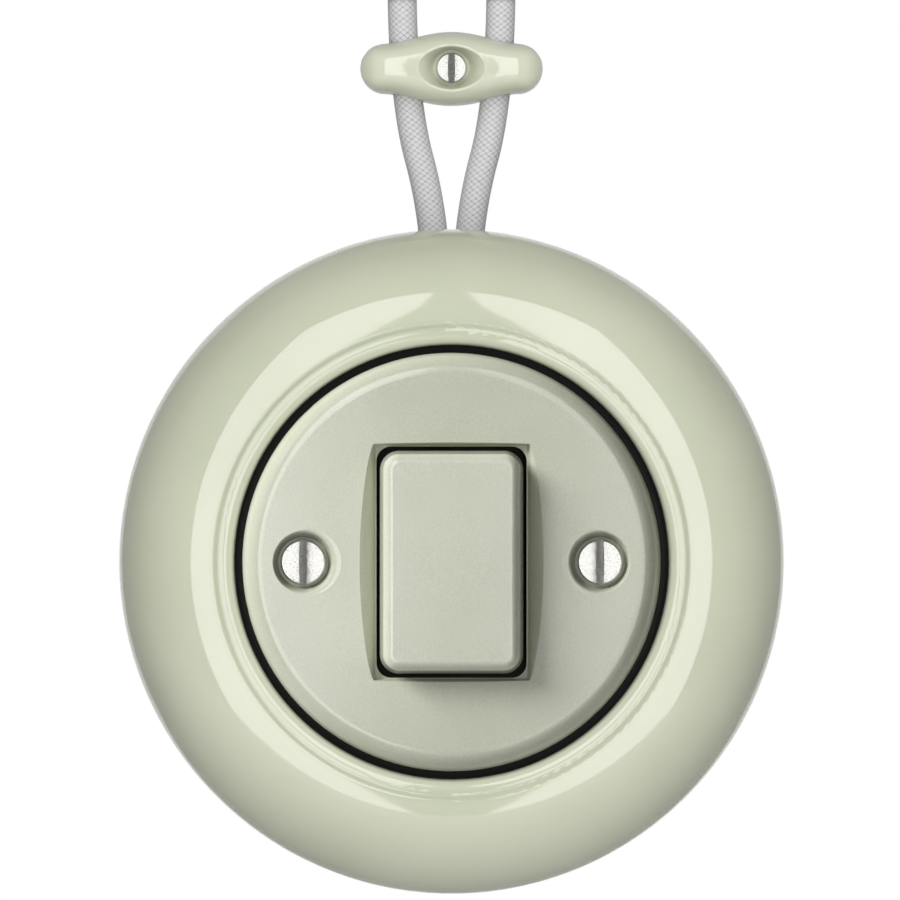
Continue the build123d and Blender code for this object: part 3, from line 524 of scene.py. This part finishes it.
zinc, tree, out = new_material("zinc_plated_steel")
where = node(tree, "ShaderNodeTexCoord").outputs["Object"]
crystals = node(
    tree, "ShaderNodeTexVoronoi", {"Scale": 1 / ZINC_CRYSTAL, "Randomness": 1.0}, {"Vector": where}
).outputs["Color"]
grey = node(tree, "ShaderNodeRGBToBW", links={0: crystals}).outputs[0]
patches = node(
    tree, "ShaderNodeTexNoise", {"Scale": 1 / PASSIVATION_PATCH, "Detail": 2.0}, {"Vector": where}
).outputs["Fac"]
cloud = node(tree, "ShaderNodeMath", {"operation": "MULTIPLY_ADD", 1: 0.18}, {0: grey, 2: patches}).outputs[0]
zinc_tones = [(0.4, "#9aa2aa"), (0.58, "#b4b8ba"), (0.75, "#bdb9ac")]
colour = node(tree, "ShaderNodeValToRGB", {"stops": zinc_tones}, {"Fac": cloud})
dull = node(tree, "ShaderNodeMapRange", {"To Min": 0.3, "To Max": 0.45}, {"Value": grey}).outputs["Result"]
bump = node(tree, "ShaderNodeBump", {"Strength": 0.15, "Distance": 0.00002}, {"Height": grey})
galvanised = node(
    tree, "ShaderNodeBsdfPrincipled", {"Metallic": 1.0},
    {"Base Color": colour.outputs["Color"], "Roughness": dull, "Normal": bump.outputs["Normal"]},
)
tree.links.new(galvanised.outputs[0], out.inputs["Surface"])
dress(["yoke_screws", "terminal_screws", "cleat_nut"], zinc)

# The mounting yoke: pressed mild steel, zinc-plated and then passivated black, so that nothing
# shines up through the gaps. The film is a near-black olive with a dull metal gleam.
black_zinc, tree, out = new_material("black_passivated_zinc")
where = node(tree, "ShaderNodeTexCoord").outputs["Object"]
film = node(
    tree, "ShaderNodeTexNoise", {"Scale": 1 / PASSIVATION_PATCH, "Detail": 4.0, "Roughness": 0.6},
    {"Vector": where},
).outputs["Fac"]
colour = node(tree, "ShaderNodeValToRGB", {"stops": [(0.35, "#1d1e1b"), (0.7, "#34352f")]}, {"Fac": film})
dull = node(tree, "ShaderNodeMapRange", {"To Min": 0.4, "To Max": 0.55}, {"Value": film}).outputs["Result"]
blackened = node(
    tree, "ShaderNodeBsdfPrincipled", {"Metallic": 1.0},
    {"Base Color": colour.outputs["Color"], "Roughness": dull},
)
tree.links.new(blackened.outputs[0], out.inputs["Surface"])
dress(["mounting_yoke"], black_zinc)

# The housing ring: hard porcelain, turned from a plaster mould, dipped in a clear grey-green glaze
# and fired. The glaze runs thin over the bead and pools deeper in the groove beside it. The foot is
# wiped bare before firing. The bore below the bead is darkened with painted shade.
GLAZE_DRIFT = 0.022
GLAZE_WAVE = 0.011
KILN_SPECK_SPACING = 0.013
RING_CENTRE = (0, 0, 0)
BORE_END = 0.0364
PAINTED_SHADE_TOP = 0.0352
PAINTED_SHADE_DEPTH = 0.0342
FOOT_WIPED = 0.0006
FOOT_GLAZED = 0.0009


def spread(tree, where, centre, reach):
    """How far a point lies from a line square to the wall, as a share of a reach in X and in Z."""
    moved = node(tree, "ShaderNodeVectorMath", {"operation": "SUBTRACT", 1: centre}, {0: where})
    shares = (1 / reach[0], 0, 1 / reach[1])
    flat = node(tree, "ShaderNodeVectorMath", {"operation": "MULTIPLY", 1: shares}, {0: moved.outputs[0]})
    return node(tree, "ShaderNodeVectorMath", {"operation": "LENGTH"}, {0: flat.outputs[0]}).outputs["Value"]


def glazed(name, thin, deep, centre, reach, pools, painted_shade):
    """Glossy glaze: pools and painted shade are ramps over the spread that say where each of them lies."""
    material, tree, out = new_material(name)
    where = node(tree, "ShaderNodeTexCoord").outputs["Object"]
    drift = node(
        tree, "ShaderNodeTexNoise", {"Scale": 1 / GLAZE_DRIFT, "Detail": 2.0}, {"Vector": where}
    ).outputs["Fac"]
    away = spread(tree, where, centre, reach)
    pool = node(tree, "ShaderNodeValToRGB", {"stops": pools}, {"Fac": away}).outputs["Color"]
    depth = node(
        tree, "ShaderNodeMath", {"operation": "MULTIPLY_ADD", 1: 0.5}, {0: drift, 2: pool}
    ).outputs[0]
    share = node(tree, "ShaderNodeMapRange", {"From Min": 0.15}, {"Value": depth}).outputs["Result"]
    body = node(tree, "ShaderNodeMix", {"data_type": "RGBA", 6: srgb(thin), 7: srgb(deep)}, {0: share})
    speck = node(
        tree, "ShaderNodeTexVoronoi", {"Scale": 1 / KILN_SPECK_SPACING}, {"Vector": where}
    ).outputs["Distance"]
    spot = node(
        tree, "ShaderNodeMapRange",
        {"From Min": 0.008, "From Max": 0.02, "To Min": 0.35, "To Max": 0.0}, {"Value": speck},
    ).outputs["Result"]
    specked = node(
        tree, "ShaderNodeMix", {"data_type": "RGBA", 7: srgb("#6e6650")}, {0: spot, 6: body.outputs[2]}
    )
    # Painted shade: low down and inside the given ramp, the colour is mixed towards near-black.
    height = node(tree, "ShaderNodeSeparateXYZ", links={0: where}).outputs["Y"]
    low = node(
        tree, "ShaderNodeMapRange", {"From Min": -PAINTED_SHADE_TOP, "From Max": -PAINTED_SHADE_DEPTH}, {"Value": height}
    ).outputs["Result"]
    inside = node(tree, "ShaderNodeValToRGB", {"stops": painted_shade}, {"Fac": away}).outputs["Color"]
    shade_share = node(tree, "ShaderNodeMath", {"operation": "MULTIPLY"}, {0: low, 1: inside}).outputs[0]
    painted_shade_mix = node(
        tree, "ShaderNodeMix", {"data_type": "RGBA", 7: srgb("#22221d")}, {0: shade_share, 6: specked.outputs[2]}
    )
    bare = node(
        tree, "ShaderNodeMapRange", {"From Min": -FOOT_GLAZED, "From Max": -FOOT_WIPED}, {"Value": height}
    ).outputs["Result"]
    footed = node(
        tree, "ShaderNodeMix", {"data_type": "RGBA", 7: srgb("#d9d7cd")}, {0: bare, 6: painted_shade_mix.outputs[2]}
    )
    dull = node(
        tree, "ShaderNodeMapRange", {"To Min": 0.06, "To Max": 0.7}, {"Value": bare}
    ).outputs["Result"]
    wave = node(
        tree, "ShaderNodeTexNoise", {"Scale": 1 / GLAZE_WAVE, "Detail": 1.0}, {"Vector": where}
    ).outputs["Fac"]
    bump = node(tree, "ShaderNodeBump", {"Strength": 0.1, "Distance": 0.00006}, {"Height": wave})
    shine = node(
        tree, "ShaderNodeBsdfPrincipled", {"IOR": 1.65},
        {"Base Color": footed.outputs[2], "Roughness": dull, "Normal": bump.outputs["Normal"]},
    )
    tree.links.new(shine.outputs[0], out.inputs["Surface"])
    return material


ring_glaze = glazed(
    "ring_glazed_porcelain",
    "#c5c9b3",
    "#aab096",
    RING_CENTRE,
    (BORE_END, BORE_END),
    [(0.93, "#000000"), (0.955, "#808080"), (0.975, "#808080"), (1.0, "#000000")],
    [(0.895, "#ffffff"), (0.915, "#000000")],
)
dress(["housing_ring"], ring_glaze)

# The cover disc and the button cap: the same porcelain under a thinner, satin glaze. It is smooth
# at its rounded edges, where the highlight stays crisp, and the flat faces carry a fine grain, too
# small to see, so it is drawn a quarter of a millimetre wide. Painted shade darkens the gaps round the cap.
SATIN_GRAIN = 0.00025
CLOUD = 0.012
DISC_PAINTED_SHADE = (0.0348, 0.0341)
CAP_PAINTED_SHADE = (0.0362, 0.0350)


def satin(name, light, dark, shade_from, shade_to):
    """Satin glaze with a fine grain, darkened by painted shade below a height above the wall."""
    material, tree, out = new_material(name)
    where = node(tree, "ShaderNodeTexCoord").outputs["Object"]
    grain = node(
        tree, "ShaderNodeTexNoise", {"Scale": 1 / SATIN_GRAIN, "Detail": 2.0, "Roughness": 0.6},
        {"Vector": where},
    ).outputs["Fac"]
    cloud = node(
        tree, "ShaderNodeTexNoise", {"Scale": 1 / CLOUD, "Detail": 2.0}, {"Vector": where}
    ).outputs["Fac"]
    both = node(
        tree, "ShaderNodeMath", {"operation": "MULTIPLY_ADD", 1: 0.5}, {0: cloud, 2: grain}
    ).outputs[0]
    colour = node(tree, "ShaderNodeValToRGB", {"stops": [(0.55, dark), (0.95, light)]}, {"Fac": both})
    # Painted shade: below a height above the wall the colour is mixed towards near-black.
    height = node(tree, "ShaderNodeSeparateXYZ", links={0: where}).outputs["Y"]
    low = node(
        tree, "ShaderNodeMapRange", {"From Min": -shade_from, "From Max": -shade_to}, {"Value": height}
    ).outputs["Result"]
    painted_shade_mix = node(
        tree, "ShaderNodeMix", {"data_type": "RGBA", 7: srgb("#1c1c18")}, {0: low, 6: colour.outputs["Color"]}
    )
    dull = node(
        tree, "ShaderNodeMapRange", {"To Min": 0.09, "To Max": 0.2}, {"Value": grain}
    ).outputs["Result"]
    bump = node(tree, "ShaderNodeBump", {"Strength": 0.12, "Distance": 0.00001}, {"Height": grain})
    sheen = node(
        tree, "ShaderNodeBsdfPrincipled", {"IOR": 1.6},
        {"Base Color": painted_shade_mix.outputs[2], "Roughness": dull, "Normal": bump.outputs["Normal"]},
    )
    tree.links.new(sheen.outputs[0], out.inputs["Surface"])
    return material


dress(["cover_disc"], satin("disc_satin_porcelain", "#cbcebb", "#c0c3af", *DISC_PAINTED_SHADE))
dress(["button_cap"], satin("cap_satin_porcelain", "#d6d9c7", "#cbcebb", *CAP_PAINTED_SHADE))

# The two screws that hold the disc: turned steel, slotted with a saw and nickel-plated. The lathe
# leaves faint rings on the slightly crowned head, which mirrors the strips at its sides and the
# dark gap between them in the middle, and the plating has fine dark pores.
SCREW_OFFSET = 0.0222
CROWN_RADIUS = 0.030
LATHE_RING = 0.00016
PLATING_PORE = 0.00012


def turned_nickel(name, offset, centre_z):
    """Nickel on turned steel, ringed about a line square to the wall at offset either side of X 0."""
    material, tree, out = new_material(name)
    where = node(tree, "ShaderNodeTexCoord").outputs["Object"]
    parts = node(tree, "ShaderNodeSeparateXYZ", links={0: where})
    far = node(tree, "ShaderNodeMath", {"operation": "ABSOLUTE"}, {0: parts.outputs["X"]}).outputs[0]
    side = node(tree, "ShaderNodeMath", {"operation": "SIGN"}, {0: parts.outputs["X"]}).outputs[0]
    past = node(tree, "ShaderNodeMath", {"operation": "SUBTRACT", 1: offset}, {0: far}).outputs[0]
    across = node(tree, "ShaderNodeMath", {"operation": "MULTIPLY"}, {0: past, 1: side}).outputs[0]
    up = node(
        tree, "ShaderNodeMath", {"operation": "SUBTRACT", 1: centre_z}, {0: parts.outputs["Z"]}
    ).outputs[0]
    radial = node(tree, "ShaderNodeCombineXYZ", links={"X": across, "Z": up}).outputs[0]
    radius = node(tree, "ShaderNodeVectorMath", {"operation": "LENGTH"}, {0: radial}).outputs["Value"]
    ringed = node(tree, "ShaderNodeMath", {"operation": "DIVIDE", 1: LATHE_RING}, {0: radius}).outputs[0]
    rings = node(
        tree, "ShaderNodeTexNoise", {"noise_dimensions": "1D", "Scale": 1.0, "Detail": 1.0}, {"W": ringed}
    ).outputs["Fac"]
    tangent = node(tree, "ShaderNodeVectorMath", {"operation": "CROSS_PRODUCT", 1: (0, 1, 0)}, {0: radial})
    tangent = node(tree, "ShaderNodeVectorMath", {"operation": "NORMALIZE"}, {0: tangent.outputs[0]})
    pores = node(
        tree, "ShaderNodeTexNoise", {"Scale": 1 / PLATING_PORE, "Detail": 2.0, "Roughness": 0.7},
        {"Vector": where},
    ).outputs["Fac"]
    nickel_tones = [(0.32, "#6e6d69"), (0.44, "#c6c5c1"), (0.7, "#d6d5d1")]
    colour = node(tree, "ShaderNodeValToRGB", {"stops": nickel_tones}, {"Fac": pores})
    square = node(tree, "ShaderNodeMath", {"operation": "POWER", 1: 2.0}, {0: radius}).outputs[0]
    crown = node(
        tree, "ShaderNodeMath", {"operation": "MULTIPLY", 1: -0.5 / CROWN_RADIUS}, {0: square}
    ).outputs[0]
    domed = node(tree, "ShaderNodeBump", {"Strength": 1.0, "Distance": 1.0}, {"Height": crown})
    bump = node(
        tree, "ShaderNodeBump", {"Strength": 0.2, "Distance": 0.000006},
        {"Height": rings, "Normal": domed.outputs["Normal"]},
    )
    metal = node(
        tree, "ShaderNodeBsdfPrincipled", {"Metallic": 1.0, "Roughness": 0.14, "Anisotropic": 0.15},
        {
            "Base Color": colour.outputs["Color"],
            "Normal": bump.outputs["Normal"],
            "Tangent": tangent.outputs[0],
        },
    )
    tree.links.new(metal.outputs[0], out.inputs["Surface"])
    return material


dress(["cover_screws"], turned_nickel("turned_nickel_plated_steel", SCREW_OFFSET, 0.0))

# The cleat that grips the wires: two halves of the same porcelain, pressed in a die and glazed a
# little warmer, drawn together by one nickel-plated screw. The glaze pools on the crater's slope
# round the screw's head. Its back stands bare on the wall.
CLEAT_CENTRE = (0, 0, 0.0745)
CRATER_REACH = (0.0062, 0.0046)

cleat_glaze = glazed(
    "cleat_glazed_porcelain",
    "#c9ccb8",
    "#a4a88e",
    CLEAT_CENTRE,
    CRATER_REACH,
    [(0.40, "#202020"), (0.50, "#909090"), (0.68, "#707070"), (0.80, "#000000")],
    [(0.0, "#000000"), (1.0, "#000000")],
)
dress(["cleat_top", "cleat_base"], cleat_glaze)
dress(["cleat_screw"], turned_nickel("cleat_nickel_plated_steel", 0.0, CLEAT_CENTRE[2]))
